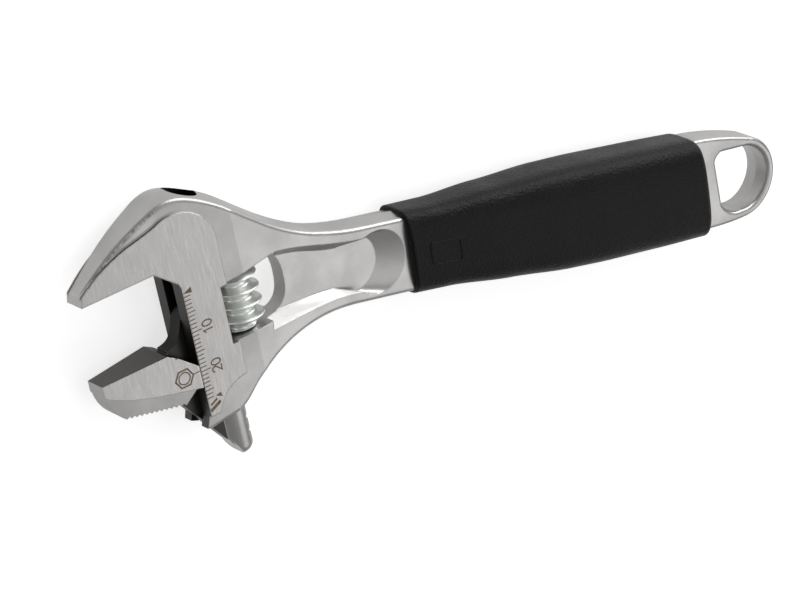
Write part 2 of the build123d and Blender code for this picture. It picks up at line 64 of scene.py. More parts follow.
# Sizes shared by several pieces, in millimetres and degrees.
WORM_J = 16.1
WORM_MIDDLE_S = -9.85
FACE_HALF = 5.26
FACE_TAPER = 0.101
GROUND_STEP = 0.65
HEAD_ANGLE = 15.0
ZERO_MARK_Y = 3.0

Socket = bpy.types.NodeSocket
Node = bpy.types.Node
BMesh = bmesh.types.BMesh
Value = float | Sequence[float] | Socket
Point = tuple[float, float]
Span = tuple[float, float]
Colour = tuple[float, float, float, float]


class Body(Enum):
    """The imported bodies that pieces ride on."""

    FRAME = "frame"
    JAW = "jaw"
    WORM = "worm"


@dataclass(frozen=True)
class HeadFrame:
    """The head's own axes: J along the jaws, S along the slot, from the scale's zero mark."""

    origin: Vector
    j: Vector
    s: Vector

    @classmethod
    def from_record(cls) -> "HeadFrame":
        """Find the head's axes from the worm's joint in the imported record.

        Returns:
            The head's origin and axes.
        """
        spin = next(joint for joint in frame["joints"] if joint["name"] == "worm_spin")
        s = -Vector(spin["axis"]).normalized()
        j = s.cross(Vector((0.0, 0.0, 1.0)))
        origin = Vector(spin["pos_m"]) - (j * WORM_J + s * WORM_MIDDLE_S) * MM
        return cls(origin, j, s)

    def point(self, j: float, s: float, z: float) -> Vector:
        """The place of a point given in millimetres along J, S and up from mid thickness."""
        return self.origin + (self.j * j + self.s * s + Vector((0.0, 0.0, z))) * MM

    def handle_point(self, x: float, y: float, z: float) -> Vector:
        """The place of a point given in millimetres along the handle, across it and up."""
        return self.origin + Vector((x, y - ZERO_MARK_Y, z)) * MM


HEAD = HeadFrame.from_record()


def grey(level: float, warmth: float = 0.0) -> Colour:
    """A nearly neutral colour, warmer for a positive warmth."""
    return (level * (1 + warmth), level, level * (1 - warmth), 1.0)


# Node helpers


class Graph:
    """A small helper that adds and joins shader nodes in one tree."""

    def __init__(self, tree: bpy.types.NodeTree) -> None:
        """Keep the tree that nodes are added to."""
        self.tree = tree

    def put(self, value: Value, socket: Socket) -> None:
        """Set an input socket to a value, or link it from another socket.

        Args:
            value: The value or the output socket.
            socket: The input socket.
        """
        if isinstance(value, Socket):
            self.tree.links.new(value, socket)
        else:
            socket.default_value = value

    def add(self, kind: str, inputs: dict[str | int, Value] | None = None,
            **settings: object) -> Node:
        """Add a node.

        Args:
            kind: The node's type name, without the ShaderNode prefix.
            inputs: Values or output sockets for its inputs, by name or index.
            settings: Properties to set on the node.

        Returns:
            The new node.
        """
        node = self.tree.nodes.new("ShaderNode" + kind)
        for name, value in settings.items():
            setattr(node, name, value)
        for key, value in (inputs or {}).items():
            self.put(value, node.inputs[key])
        return node

    def math(self, operation: str, *values: Value, clamp: bool = False) -> Socket:
        """The result of one arithmetic step on values or sockets, as many as the step takes."""
        return self.add("Math", dict(enumerate(values)), operation=operation, use_clamp=clamp).outputs[0]

    def band(self, value: Value, low: float, high: float) -> Socket:
        """A soft step from 0 at low to 1 at high. High may be the smaller of the two."""
        inputs = {"Value": value, "From Min": low, "From Max": high}
        return self.add("MapRange", inputs, interpolation_type="SMOOTHSTEP").outputs[0]

    def both(self, *masks: Value) -> Value:
        """Join masks where they overlap.

        Args:
            masks: The masks, or plain shares.

        Returns:
            Their product.
        """
        result = masks[0]
        for mask in masks[1:]:
            result = self.math("MULTIPLY", result, mask)
        return result

    def mix(self, factor: Value, a: Value, b: Value) -> Socket:
        """A blend of two colours, all a at 0 and all b at 1."""
        return self.add("Mix", {0: factor, 6: a, 7: b}, data_type="RGBA").outputs[2]

    def layers(self, base: Value, *over: tuple[Value, Value]) -> Value:
        """Lay colours over a base in turn.

        Args:
            base: The lowest colour.
            over: A mask and a colour for each layer.

        Returns:
            The colour with every layer on it.
        """
        for mask, colour in over:
            base = self.mix(mask, base, colour)
        return base

    def blend(self, factor: Value, a: Value, b: Value) -> Socket:
        """A blend of two numbers, all a at 0 and all b at 1."""
        return self.add("Mix", {0: factor, 2: a, 3: b}, data_type="FLOAT").outputs[0]

    def noise(self, vector: Value, scale: Value, detail: float = 3.0) -> Socket:
        """A noise value over a vector."""
        inputs = {"Vector": vector, "Scale": scale, "Detail": detail, "Roughness": 0.6}
        return self.add("TexNoise", inputs).outputs["Fac"]

    def stretched(self, vector: Value, scale: tuple[float, float, float]) -> Socket:
        """A vector scaled by a factor for each axis."""
        return self.add("Mapping", {"Vector": vector, "Scale": scale}).outputs[0]


FLOAT = "NodeSocketFloat"
VECTOR = "NodeSocketVector"


@dataclass(frozen=True)
class Effect:
    """A shader node group that is built once and placed with its own values.

    Fill takes the group's graph and its input node, and gives the socket for each output. Outputs
    are socket types by name, and inputs are default values by name.
    """

    name: str
    fill: Callable[[Graph, Node], dict[str, Value]]
    outputs: dict[str, str]
    inputs: dict[str, float] = field(default_factory=dict)

    def tree(self) -> bpy.types.NodeTree:
        """Find the node group, built the first time.

        Returns:
            The node group.
        """
        if self.name in bpy.data.node_groups:
            return bpy.data.node_groups[self.name]
        tree = bpy.data.node_groups.new(self.name, "ShaderNodeTree")
        for title, value in self.inputs.items():
            socket = tree.interface.new_socket(title, in_out="INPUT", socket_type=FLOAT)
            socket.default_value = value
        for title, kind in self.outputs.items():
            tree.interface.new_socket(title, in_out="OUTPUT", socket_type=kind)
        graph = Graph(tree)
        ends = self.fill(graph, tree.nodes.new("NodeGroupInput"))
        out = tree.nodes.new("NodeGroupOutput")
        for title, value in ends.items():
            graph.put(value, out.inputs[title])
        return tree

    def place(self, graph: Graph, **values: float) -> Node:
        """A node that places the group in a graph, with values for its inputs."""
        return graph.add("Group", values, node_tree=self.tree())


def fill_head_axes(graph: Graph, source: Node) -> dict[str, Value]:
    """Find place and facing along the head's own axes, in millimetres.

    Args:
        graph: The group's graph.
        source: The group's input node, which has no sockets. It is not used.

    Returns:
        The socket for each output.
    """
    turn = {"Angle": -math.radians(HEAD_ANGLE)}
    here = graph.add("TexCoord")
    from_zero = graph.add("VectorMath", {0: here.outputs["Object"], 1: HEAD.origin}, operation="SUBTRACT")
    turned = graph.add("VectorRotate", {"Vector": from_zero.outputs[0], **turn}, rotation_type="Z_AXIS")
    scaled = graph.add("VectorMath", {0: turned.outputs[0], "Scale": 1 / MM}, operation="SCALE")
    facing = graph.add("VectorRotate", {"Vector": here.outputs["Normal"], **turn}, rotation_type="Z_AXIS")
    return {"Place": scaled.outputs[0], "Facing": facing.outputs[0]}


HEAD_AXES = Effect("head_axes", fill_head_axes, {"Place": VECTOR, "Facing": VECTOR})


def fill_blasted_grain(graph: Graph, source: Node) -> dict[str, Value]:
    """Make fine pits of blasted, plated steel, with soft cloudy patches.

    Args:
        graph: The group's graph.
        source: The group's input node.

    Returns:
        The socket for each output.
    """
    here = graph.add("TexCoord").outputs["Object"]
    fine = graph.noise(here, 4200.0, 2.0)
    middle = graph.noise(here, 900.0)
    patches = graph.noise(here, 90.0)
    relief = graph.math("ADD", fine, graph.math("MULTIPLY", middle, 0.4))
    return {"Height": graph.math("MULTIPLY", relief, source.outputs["Amount"]),
            "Pits": graph.band(fine, 0.35, 0.62),
            "Patches": graph.band(patches, 0.3, 0.7)}


BLASTED_GRAIN = Effect("blasted_grain", fill_blasted_grain,
                       {"Height": FLOAT, "Pits": FLOAT, "Patches": FLOAT}, {"Amount": 1.0})


def fill_grinding_lines(graph: Graph, source: Node) -> dict[str, Value]:
    """Make long fine scratches left by a belt that ran along the slot.

    Args:
        graph: The group's graph.
        source: The group's input node.

    Returns:
        The socket for each output.
    """
    place = HEAD_AXES.place(graph).outputs["Place"]
    lines = graph.noise(graph.stretched(place, (9.0, 0.22, 9.0)), source.outputs["Fineness"], 4.0)
    bands = graph.noise(graph.stretched(place, (2.4, 0.09, 2.4)), source.outputs["Fineness"], 2.0)
    return {"Height": lines, "Lines": graph.band(lines, 0.35, 0.65), "Bands": graph.band(bands, 0.3, 0.7)}


GRINDING_LINES = Effect("grinding_lines", fill_grinding_lines,
                        {"Height": FLOAT, "Lines": FLOAT, "Bands": FLOAT}, {"Fineness": 1.0})


def fill_edge_wear_and_light(graph: Graph, source: Node) -> dict[str, Value]:
    """Find outer edges, partly rubbed and partly a painted highlight, and inner corners for painted shade,
    where the surface turns within a short reach.

    Args:
        graph: The group's graph.
        source: The group's input node.

    Returns:
        The socket for each output.
    """
    geometry = graph.add("NewGeometry")
    rounded = graph.add("Bevel", {"Radius": source.outputs["Reach"]}, samples=4).outputs[0]
    agree = graph.add("VectorMath", {0: geometry.outputs["Normal"], 1: rounded}, operation="DOT_PRODUCT")
    edge = graph.band(agree.outputs["Value"], 0.985, 0.9)
    point = geometry.outputs["Pointiness"]
    broken = graph.noise(graph.add("TexCoord").outputs["Object"], 1400.0)
    # Rubbed edges: broken wear together with a painted highlight on convex edges.
    rubbed = graph.both(edge, graph.band(point, 0.49, 0.52), graph.band(broken, 0.3, 0.6))
    # Corners: painted shade in concave inner corners.
    return {"Rubbed": rubbed, "Corners": graph.both(edge, graph.band(point, 0.5, 0.47))}


# Rubbed edges carry a painted highlight, and inner corners carry painted shade.
EDGE_WEAR_AND_LIGHT = Effect("edge_wear_and_light", fill_edge_wear_and_light, {"Rubbed": FLOAT, "Corners": FLOAT}, {"Reach": 0.0004})


@dataclass(frozen=True)
class HeadPlace:
    """Sockets for where a point of the head is, in millimetres, and how its surface turns."""

    place: Socket
    j: Socket
    s: Socket
    thick: Socket
    turn_j: Socket
    turn_s: Socket
    level: Socket

    @classmethod
    def on(cls, graph: Graph) -> "HeadPlace":
        """Find the sockets in a material.

        Args:
            graph: The material's graph.

        Returns:
            The sockets. Thick is the distance from mid thickness, and level is 1 on a flat face.
        """
        place, facing = HEAD_AXES.place(graph).outputs
        j, s, z = graph.add("SeparateXYZ", {0: place}).outputs
        turn_j, turn_s, up = graph.add("SeparateXYZ", {0: facing}).outputs
        return cls(place, j, s, graph.math("ABSOLUTE", z), turn_j, turn_s, graph.math("ABSOLUTE", up))


# Finishes


@dataclass(frozen=True)
class Finish:
    """A surface finish that makes one material."""

    name: str

    def material(self) -> bpy.types.Material:
        """Make the material once.

        Returns:
            The finished material.
        """
        if self.name in bpy.data.materials:
            return bpy.data.materials[self.name]
        material = bpy.data.materials.new(self.name)
        material.use_nodes = True
        material.node_tree.nodes.clear()
        graph = Graph(material.node_tree)
        shader = graph.add("BsdfPrincipled")
        self.dress(graph, shader)
        graph.add("OutputMaterial", {0: shader.outputs[0]})
        return material

    def dress(self, graph: Graph, shader: Node) -> None:
        """Set the shader's values and feed its sockets."""
        raise NotImplementedError


def feed(graph: Graph, shader: Node, colour: Value, roughness: Value, height: Value,
         depth: float, soften: float = 0.0) -> None:
    """Feed the usual sockets of a surface.

    Args:
        graph: The material's graph.
        shader: The surface shader.
        colour: The colour socket.
        roughness: The roughness socket.
        height: The height socket of the surface relief.
        depth: The relief's depth in metres.
        soften: The radius in metres over which sharp edges catch the light.
    """
    graph.put(colour, shader.inputs["Base Color"])
    graph.put(roughness, shader.inputs["Roughness"])
    bump = graph.add("Bump", {"Height": height, "Strength": 1.0, "Distance": depth})
    if soften:
        graph.put(graph.add("Bevel", {"Radius": soften}, samples=6).outputs[0], bump.inputs["Normal"])
    graph.put(bump.outputs[0], shader.inputs["Normal"])


@dataclass(frozen=True)
class Zone:
    """A part of a surface with its own colour, and its own roughness where it has one."""

    mask: Value
    colour: Colour
    rough: float | None = None


@dataclass(frozen=True)
class GroundSteel(Finish):
    """Blasted, plated steel with belt-ground flats, worn edges with a painted highlight, painted shade in
    inner corners, and darker zones.
    """

    plate: Colour = grey(0.58, 0.012)
    patch: Colour = grey(0.5, 0.014)
    pit: Colour = grey(0.42, 0.01)
    ground: Colour = grey(0.61, 0.018)
    ground_line: Colour = grey(0.5, 0.025)
    # Rubbed: worn edge colour, which is also a painted highlight along convex edges.
    rubbed: Colour = grey(0.82, 0.0)
    # Corner: painted shade in inner corners.
    corner: Colour = grey(0.2, 0.05)
    pit_share: float = 0.25
    rubbed_highlight_share: float = 0.6
    corner_shade_share: float = 0.7
    plate_rough: Span = (0.3, 0.36)
    ground_rough: Span = (0.27, 0.36)
    flat_level: Span = (0.9, 0.97)
    grain_amount: float = 1.0
    line_fineness: float = 1.0
    wear_and_light_reach: float = 0.0004
    relief: float = 0.000012
    soften: float = 0.00045

    def dress(self, graph: Graph, shader: Node) -> None:
        """Blend plate, ground flats, edge wear with a painted highlight and painted shade in inner corners,
        then lay the zones over them.

        Args:
            graph: The material's graph.
            shader: The surface shader.
        """
        shader.inputs["Metallic"].default_value = 1.0
        at = HeadPlace.on(graph)
        ground = graph.both(self.ground_mask(graph, at), graph.band(at.level, *self.flat_level))
        grain = BLASTED_GRAIN.place(graph, Amount=self.grain_amount)
        lines = GRINDING_LINES.place(graph, Fineness=self.line_fineness)
        # Edge wear with a painted highlight, and painted shade in inner corners.
        wear = EDGE_WEAR_AND_LIGHT.place(graph, Reach=self.wear_and_light_reach)
        colour = graph.layers(
            self.plate,
            (grain.outputs["Patches"], self.patch),
            (graph.both(grain.outputs["Pits"], self.pit_share), self.pit),
            (ground, graph.mix(lines.outputs["Lines"], self.ground, self.ground_line)),
            # Painted shade in inner corners.
            (graph.both(wear.outputs["Corners"], self.corner_shade_share), self.corner),
            # Worn edges with a painted highlight.
            (graph.both(wear.outputs["Rubbed"], self.rubbed_highlight_share), self.rubbed),
        )
        rough = graph.blend(ground, graph.blend(grain.outputs["Patches"], *self.plate_rough),
                            graph.blend(lines.outputs["Bands"], *self.ground_rough))
        for zone in self.zones(graph, at):
            colour = graph.mix(zone.mask, colour, zone.colour)
            if zone.rough is not None:
                rough = graph.blend(zone.mask, rough, zone.rough)
        height = graph.blend(ground, grain.outputs["Height"], lines.outputs["Height"])
        feed(graph, shader, colour, rough, height, self.relief, self.soften)

    def ground_mask(self, graph: Graph, at: HeadPlace) -> Value:
        """Where flat faces are ground."""
        raise NotImplementedError

    def zones(self, graph: Graph, at: HeadPlace) -> tuple[Zone, ...]:
        """The darker zones, from the lowest up."""
        raise NotImplementedError


@dataclass(frozen=True)
class ForgedChrome(GroundSteel):
    """Satin chrome over blasted forging, with belt-ground flats and painted shade on the slot wall and the
    fixed jaw's face.
    """

    run_out: Colour = grey(0.16, 0.05)
    # Painted shade on the slot's side wall and on the fixed jaw's gripping face.
    working_face_shade: Colour = grey(0.12, 0.03)
    working_rough: float = 0.42
    # Painted shade inside the web's slot and the rail's bore.
    hollow_shade: Colour = grey(0.022, 0.02)
    hollow_rough: float = 0.6
    ground_over: Span = (0.1, 0.25)
    ground_end_j: Span = (17.0, 15.0)
    web_half: Span = (2.0, 1.96)
    bore_j: float = 8.2
    bore_radius: Span = (3.78, 3.72)
    ragged_height: float = 0.9

    def over_step(self, graph: Graph, at: HeadPlace) -> Socket:
        """The height in millimetres over the middle of the step round the ground face."""
        step = graph.math("MULTIPLY_ADD", at.j, FACE_TAPER, FACE_HALF - GROUND_STEP / 2)
        return graph.math("SUBTRACT", at.thick, step)

    def ground_mask(self, graph: Graph, at: HeadPlace) -> Value:
        """The head's raised faces, as far as the handle."""
        raised = graph.band(self.over_step(graph, at), *self.ground_over)
        return graph.both(raised, graph.band(at.j, *self.ground_end_j))

    def zones(self, graph: Graph, at: HeadPlace) -> tuple[Zone, ...]:
        """The belt's run-out, then painted shade on the slot wall, on the fixed jaw's face and in the
        hollows.
        """
        return (Zone(self.run_out_mask(graph, at), self.run_out),
                Zone(self.working_face_shade_mask(graph, at), self.working_face_shade, self.working_rough),
                Zone(self.hollow_shade_mask(graph, at), self.hollow_shade, self.hollow_rough))

    def run_out_mask(self, graph: Graph, at: HeadPlace) -> Value:
        """Find the dark, ragged step where the belt ran out along the fixed jaw's back.

        Args:
            graph: The material's graph.
            at: Place and turn on the head.

        Returns:
            The mask's socket.
        """
        ragged = graph.noise(graph.stretched(at.place, (2.6, 0.5, 0.0)), 1.0)
        reach = graph.math("MULTIPLY_ADD", ragged, self.ragged_height, -self.ragged_height / 2)
        height = graph.math("ADD", self.over_step(graph, at), reach)
        step = graph.both(graph.band(height, -0.62, -0.3), graph.band(height, 0.3, 0.05))
        back = graph.both(graph.band(at.j, 3.0, -3.0), graph.band(at.s, 8.5, 9.5))
        return graph.both(step, graph.band(at.level, 0.99, 0.9), back)

    def working_face_shade_mask(self, graph: Graph, at: HeadPlace) -> Socket:
        """Find the slot's side wall and the fixed jaw's gripping face, for painted shade.

        Args:
            graph: The material's graph.
            at: Place and turn on the head.

        Returns:
            The mask's socket.
        """
        wall = graph.both(graph.band(at.turn_j, -0.6, -0.85), graph.band(at.j, 1.5, 0.8),
                          graph.band(at.s, 7.0, 6.0))
        face = graph.both(graph.band(at.turn_s, -0.7, -0.9), graph.band(at.s, 8.0, 7.6),
                          graph.band(at.j, 1.0, 0.0))
        return graph.math("MAXIMUM", wall, face, clamp=True)

    def hollow_shade_mask(self, graph: Graph, at: HeadPlace) -> Socket:
        """Find the inside of the web's slot and of the rail's bore, for painted shade.

        Args:
            graph: The material's graph.
            at: Place and turn on the head.

        Returns:
            The mask's socket.
        """
        narrow = graph.both(graph.band(at.thick, *self.web_half), graph.band(at.j, 9.0, 8.0),
                            graph.band(at.j, -9.1, -8.9), graph.band(at.s, 17.0, 16.0))
        across = graph.math("SUBTRACT", at.j, self.bore_j)
        squares = graph.math("ADD", graph.both(across, across), graph.both(at.thick, at.thick))
        bore = graph.both(graph.band(graph.math("SQRT", squares), *self.bore_radius),
                          graph.band(at.thick, 3.9, 3.8))
        return graph.math("MAXIMUM", narrow, bore, clamp=True)


@dataclass(frozen=True)
class JawSteel(GroundSteel):
    """The sliding jaw: ground upper band, blasted lower part, and painted shade on the gripping face and the
    web.
    """

    plate: Colour = grey(0.52, 0.014)
    patch: Colour = grey(0.44, 0.016)
    pit: Colour = grey(0.38, 0.01)
    ground: Colour = grey(0.64, 0.016)
    ground_line: Colour = grey(0.52, 0.02)
    # Rubbed: worn edge colour, which is also a painted highlight along convex edges.
    rubbed: Colour = grey(0.8, 0.0)
    rubbed_highlight_share: float = 0.5
    # Corner: painted shade in inner corners.
    corner: Colour = grey(0.16, 0.05)
    corner_shade_share: float = 0.5
    plate_rough: Span = (0.32, 0.38)
    soften: float = 0.0002
    # Painted shade on the gripping face, which looks into the gap between the jaws.
    gripping: Colour = grey(0.15, 0.05)
    gripping_rough: float = 0.4
    # Web: painted shade on the web and its root inside the slot.
    web: Colour = grey(0.05, 0.03)
    web_half: Span = (1.95, 1.85)
    face_s: float = -12.78
    ground_depth: Span = (0.3, 0.1)

    def ground_mask(self, graph: Graph, at: HeadPlace) -> Value:
        """Find the band that stands as high as the head's ground faces.

        Args:
            graph: The material's graph.
            at: Place and turn on the jaw.

        Returns:
            The mask's socket.
        """
        over = graph.math("SUBTRACT", at.thick, graph.math("MULTIPLY", at.j, FACE_TAPER))
        low, high = (FACE_HALF - depth for depth in self.ground_depth)
        return graph.band(over, low, high)

    def zones(self, graph: Graph, at: HeadPlace) -> tuple[Zone, ...]:
        """Painted shade on the gripping face and the web."""
        return (Zone(self.gripping_shade_mask(graph, at), self.gripping, self.gripping_rough),
                Zone(self.web_shade_mask(graph, at), self.web))

    def gripping_shade_mask(self, graph: Graph, at: HeadPlace) -> Value:
        """The jaw's gripping face, which looks towards the fixed jaw, for painted shade."""
        near_face = graph.band(at.s, self.face_s - 5.0, self.face_s - 4.0)
        return graph.both(graph.band(at.turn_s, 0.3, 0.7), near_face, graph.band(at.j, 0.6, 0.2))

    def web_shade_mask(self, graph: Graph, at: HeadPlace) -> Socket:
        """Find the web inside the slot and the root that joins it to the jaw, for painted shade.

        Args:
            graph: The material's graph.
            at: Place and turn on the head.

        Returns:
            The mask's socket.
        """
        far_end = graph.band(at.j, 5.2, 4.8)
        web = graph.both(graph.band(at.j, -5.6, -5.2), graph.band(at.thick, *self.web_half), far_end)
        root = graph.both(graph.band(at.j, -5.6, -5.0),
                          graph.band(at.s, self.face_s - 1.8, self.face_s - 1.4), far_end)
        return graph.math("MAXIMUM", web, root)


@dataclass(frozen=True)
class BrightZinc(Finish):
    """Bright, faintly green zinc plate with a cloudy dull film, and painted shade in the thread's concave
    roots.
    """

    plate: Colour = (0.9, 0.92, 0.89, 1.0)
    film: Colour = (0.76, 0.79, 0.75, 1.0)
    # Painted shade in the thread's concave roots.
    groove_shade: Colour = (0.3, 0.33, 0.3, 1.0)
    rough: Span = (0.3, 0.4)
    relief: float = 0.000002

    def dress(self, graph: Graph, shader: Node) -> None:
        """Blend bright plate with a cloudy film.

        Args:
            graph: The material's graph.
            shader: The surface shader.
        """
        shader.inputs["Metallic"].default_value = 1.0
        here = graph.add("TexCoord").outputs["Object"]
        cloud = graph.noise(here, 700.0, 4.0)
        # Painted shade where the thread's surface is concave.
        groove_shade_mask = graph.band(graph.add("NewGeometry").outputs["Pointiness"], 0.5, 0.44)
        colour = graph.layers(self.plate, (graph.band(cloud, 0.42, 0.68), self.film), (groove_shade_mask, self.groove_shade))
        rough = graph.blend(graph.band(cloud, 0.35, 0.7), *self.rough)
        feed(graph, shader, colour, rough, graph.noise(here, 3200.0), self.relief)


@dataclass(frozen=True)
class TurnedSteel(Finish):
    """Plain turned or drawn steel with fine rings along the slot's direction."""

    metal: Colour = grey(0.42, 0.01)
    dull: Colour = grey(0.22, 0.03)
    rough: Span = (0.26, 0.42)
    relief: float = 0.000015

    def dress(self, graph: Graph, shader: Node) -> None:
        """Lay fine rings across the turning axis, with dull patches.

        Args:
            graph: The material's graph.
            shader: The surface shader.
        """
        shader.inputs["Metallic"].default_value = 1.0
        place = HEAD_AXES.place(graph).outputs["Place"]
        rings = graph.noise(graph.stretched(place, (0.3, 12.0, 0.3)), 1.0)
        patches = graph.band(graph.noise(place, 0.8), 0.35, 0.65)
        colour = graph.mix(patches, self.metal, self.dull)
        rough = graph.blend(graph.band(rings, 0.3, 0.7), *self.rough)
        feed(graph, shader, colour, rough, rings, self.relief)


@dataclass(frozen=True)
class GrainedSleeve(Finish):
    """Black moulded sleeve with a fine leathery grain."""

    black: Colour = (0.002, 0.002, 0.0022, 1.0)
    rubbed: Colour = (0.0045, 0.0045, 0.0048, 1.0)
    specular: float = 0.2
    rough: Span = (0.28, 0.36)
    relief: float = 0.00016

    def dress(self, graph: Graph, shader: Node) -> None:
        """Lay small pebbles, slightly shinier where hands rub.

        Args:
            graph: The material's graph.
            shader: The surface shader.
        """
        shader.inputs["Specular IOR Level"].default_value = self.specular
        here = graph.add("TexCoord").outputs["Object"]
        pebbles = graph.add("TexVoronoi", {"Vector": here, "Scale": 1900.0}, feature="SMOOTH_F1").outputs[0]
        tooth = graph.math("MULTIPLY", graph.noise(here, 5200.0), 0.5)
        height = graph.math("MULTIPLY_ADD", pebbles, 0.8, tooth)
        wear = graph.band(graph.noise(here, 120.0), 0.35, 0.65)
        colour = graph.layers(self.black, (wear, self.rubbed), (graph.band(pebbles, 0.25, 0.6), self.black))
        feed(graph, shader, colour, graph.blend(wear, *self.rough), height, self.relief)


@dataclass(frozen=True)
class EtchedMark(Finish):
    """Brown-grey etched marks, uneven as the etch bites."""

    deep: Colour = (0.155, 0.108, 0.072, 1.0)
    thin: Colour = (0.28, 0.21, 0.15, 1.0)
    metallic: float = 0.35
    rough: Span = (0.5, 0.7)
    relief: float = 0.000008

    def dress(self, graph: Graph, shader: Node) -> None:
        """Blend a deep and a thin bite.

        Args:
            graph: The material's graph.
            shader: The surface shader.
        """
        shader.inputs["Metallic"].default_value = self.metallic
        bite = graph.noise(graph.add("TexCoord").outputs["Object"], 2600.0)
        colour = graph.mix(graph.band(bite, 0.38, 0.66), self.deep, self.thin)
        feed(graph, shader, colour, graph.blend(bite, *self.rough), bite, self.relief)


@dataclass(frozen=True)
class PaleFloor(Finish):
    """Plain pale studio floor. It gives the metal a darker reflection than it shows itself."""

    shown: Colour = grey(0.93)
    fleck: Colour = grey(0.91)
    mirrored: Colour = grey(0.9)
    lift: Colour = grey(0.62)
    sheen: Colour = grey(0.2)
    unlit: Colour = grey(0.0)
    rough: Span = (0.85, 0.95)
    relief: float = 0.0002

    def dress(self, graph: Graph, shader: Node) -> None:
        """Lay matt paper with a very faint tooth.

        Args:
            graph: The material's graph.
            shader: The surface shader.
        """
        tooth = graph.noise(graph.add("TexCoord").outputs["Object"], 60.0)
        ray = graph.add("LightPath")
        colour = graph.layers(self.shown, (tooth, self.fleck), (ray.outputs["Is Glossy Ray"], self.mirrored))
        feed(graph, shader, colour, graph.blend(tooth, *self.rough), tooth, self.relief)
        glow = graph.layers(self.unlit, (ray.outputs["Is Glossy Ray"], self.sheen),
                            (ray.outputs["Is Camera Ray"], self.lift))
        graph.put(glow, shader.inputs["Emission Color"])
        shader.inputs["Emission Strength"].default_value = 1.0


# Mesh helpers


def mesh_piece(name: str, mesh: BMesh, finish: Finish, body: Body,
               smooth: bool = True) -> bpy.types.Object:
    """Turn a built mesh into a dressed piece that rides on a body.

    Args:
        name: The piece's name.
        mesh: The built mesh, which is freed.
        finish: The piece's finish.
        body: The body that it rides on.
        smooth: Whether faces are shaded smooth.

    Returns:
        The new object.
    """
    bmesh.ops.recalc_face_normals(mesh, faces=mesh.faces)
    data = bpy.data.meshes.new(name)
    mesh.to_mesh(data)
    mesh.free()
    data.polygons.foreach_set("use_smooth", [smooth] * len(data.polygons))
    data.materials.append(finish.material())
    piece = bpy.data.objects.new(name, data)
    bpy.context.scene.collection.objects.link(piece)
    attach(piece, body.value)
    log.info("%s: %d faces on body %s", name, len(data.polygons), body.value)
    return piece


def skin(mesh: BMesh, rings: Sequence[Sequence[Vector]], closed: bool = True) -> None:
    """Join rings of points with quads.

    Args:
        mesh: The mesh to add to.
        rings: Rings with the same number of points each.
        closed: Whether each ring joins up with itself.
    """
    rows = [[mesh.verts.new(point) for point in ring] for ring in rings]
    count = len(rows[0])
    for low, high in zip(rows, rows[1:]):
        for index in range(count if closed else count - 1):
            after = (index + 1) % count
            mesh.faces.new((low[index], low[after], high[after], high[index]))


# Pieces kept from the pack


@dataclass
class PackedPiece:
    """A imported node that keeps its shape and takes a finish."""

    node: str
    finish: Finish

    def build(self) -> None:
        """Give the node its finish."""
        piece = frame["nodes"][self.node]
        material = self.finish.material()
        if not piece.material_slots:
            piece.data.materials.append(material)
        for slot in piece.material_slots:
            slot.material = material
        log.info("%s: dressed in %s", self.node, self.finish.name)


# Worm


@dataclass
class Worm:
    """The adjusting worm: a left-hand thread with knurled crests on a drum, in millimetres."""

    pitch: float = 3.5
    crest_radius: float = 6.1
    root_radius: float = 4.1
    bore_radius: float = 1.7
    ridge_power: float = 2.0
    half_length: float = 7.05
    end_taper: float = 1.6
    end_height: float = 0.1
    end_chamfer: float = 0.3
    knurls: int = 96
    knurl_depth: float = 0.05
    knurl_power: int = 4
    around: int = 384
    rows: int = 188
    finish: Finish = field(default_factory=lambda: BrightZinc("bright_zinc"))

    def build(self) -> bpy.types.Object:
        """Build the worm in mesh.

        Returns:
            The worm's object.
        """
        mesh = bmesh.new()
        outside = [self.ring(row / self.rows) for row in range(self.rows + 1)]
        bore = [self.circle(self.bore_radius, s) for s in (self.half_length, -self.half_length)]
        skin(mesh, [*outside, *bore, outside[0]])
        bmesh.ops.remove_doubles(mesh, verts=mesh.verts, dist=1e-7)
        piece = mesh_piece("worm_thread", mesh, self.finish, Body.WORM)
        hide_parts("adjusting_worm")
        return piece

    def ring(self, share: float) -> list[Vector]:
        """One ring of the threaded surface, from the low end to the high end.

        Args:
            share: Share of the way from the low end.

        Returns:
            The ring's points.
        """
        s = (2 * share - 1) * self.half_length
        angles = [self.angle(index) for index in range(self.around)]
        return [self.place(self.radius(s, angle), s, angle) for angle in angles]

    def circle(self, radius: float, s: float) -> list[Vector]:
        """A plain ring of points."""
        return [self.place(radius, s, self.angle(index)) for index in range(self.around)]

    def angle(self, index: int) -> float:
        """The angle of a point in a ring."""
        return 2 * math.pi * index / self.around

    def radius(self, s: float, angle: float) -> float:
        """The surface's radius, with the thread, its knurl and the tapered ends.

        Args:
            s: Distance along the worm from its middle, in millimetres.
            angle: Angle round the worm, from +J towards up.

        Returns:
            The radius in millimetres.
        """
        turns = s / self.pitch - (angle - math.pi) / (2 * math.pi)
        rise = (0.5 + 0.5 * math.cos(2 * math.pi * turns)) ** self.ridge_power
        dip = 0.5 - 0.5 * math.cos(self.knurls * angle)
        tip = self.crest_radius - self.knurl_depth * dip * rise**self.knurl_power
        room = self.half_length - abs(s)
        taper = min(1.0, (room + self.end_height) / self.end_taper)
        chamfer = self.end_chamfer - min(room, self.end_chamfer)
        return self.root_radius + (tip - self.root_radius) * min(rise, taper) - chamfer

    def place(self, radius: float, s: float, angle: float) -> Vector:
        """A point on the worm."""
        across = radius * math.cos(angle)
        return HEAD.point(WORM_J + across, WORM_MIDDLE_S + s, radius * math.sin(angle))


# Sleeve


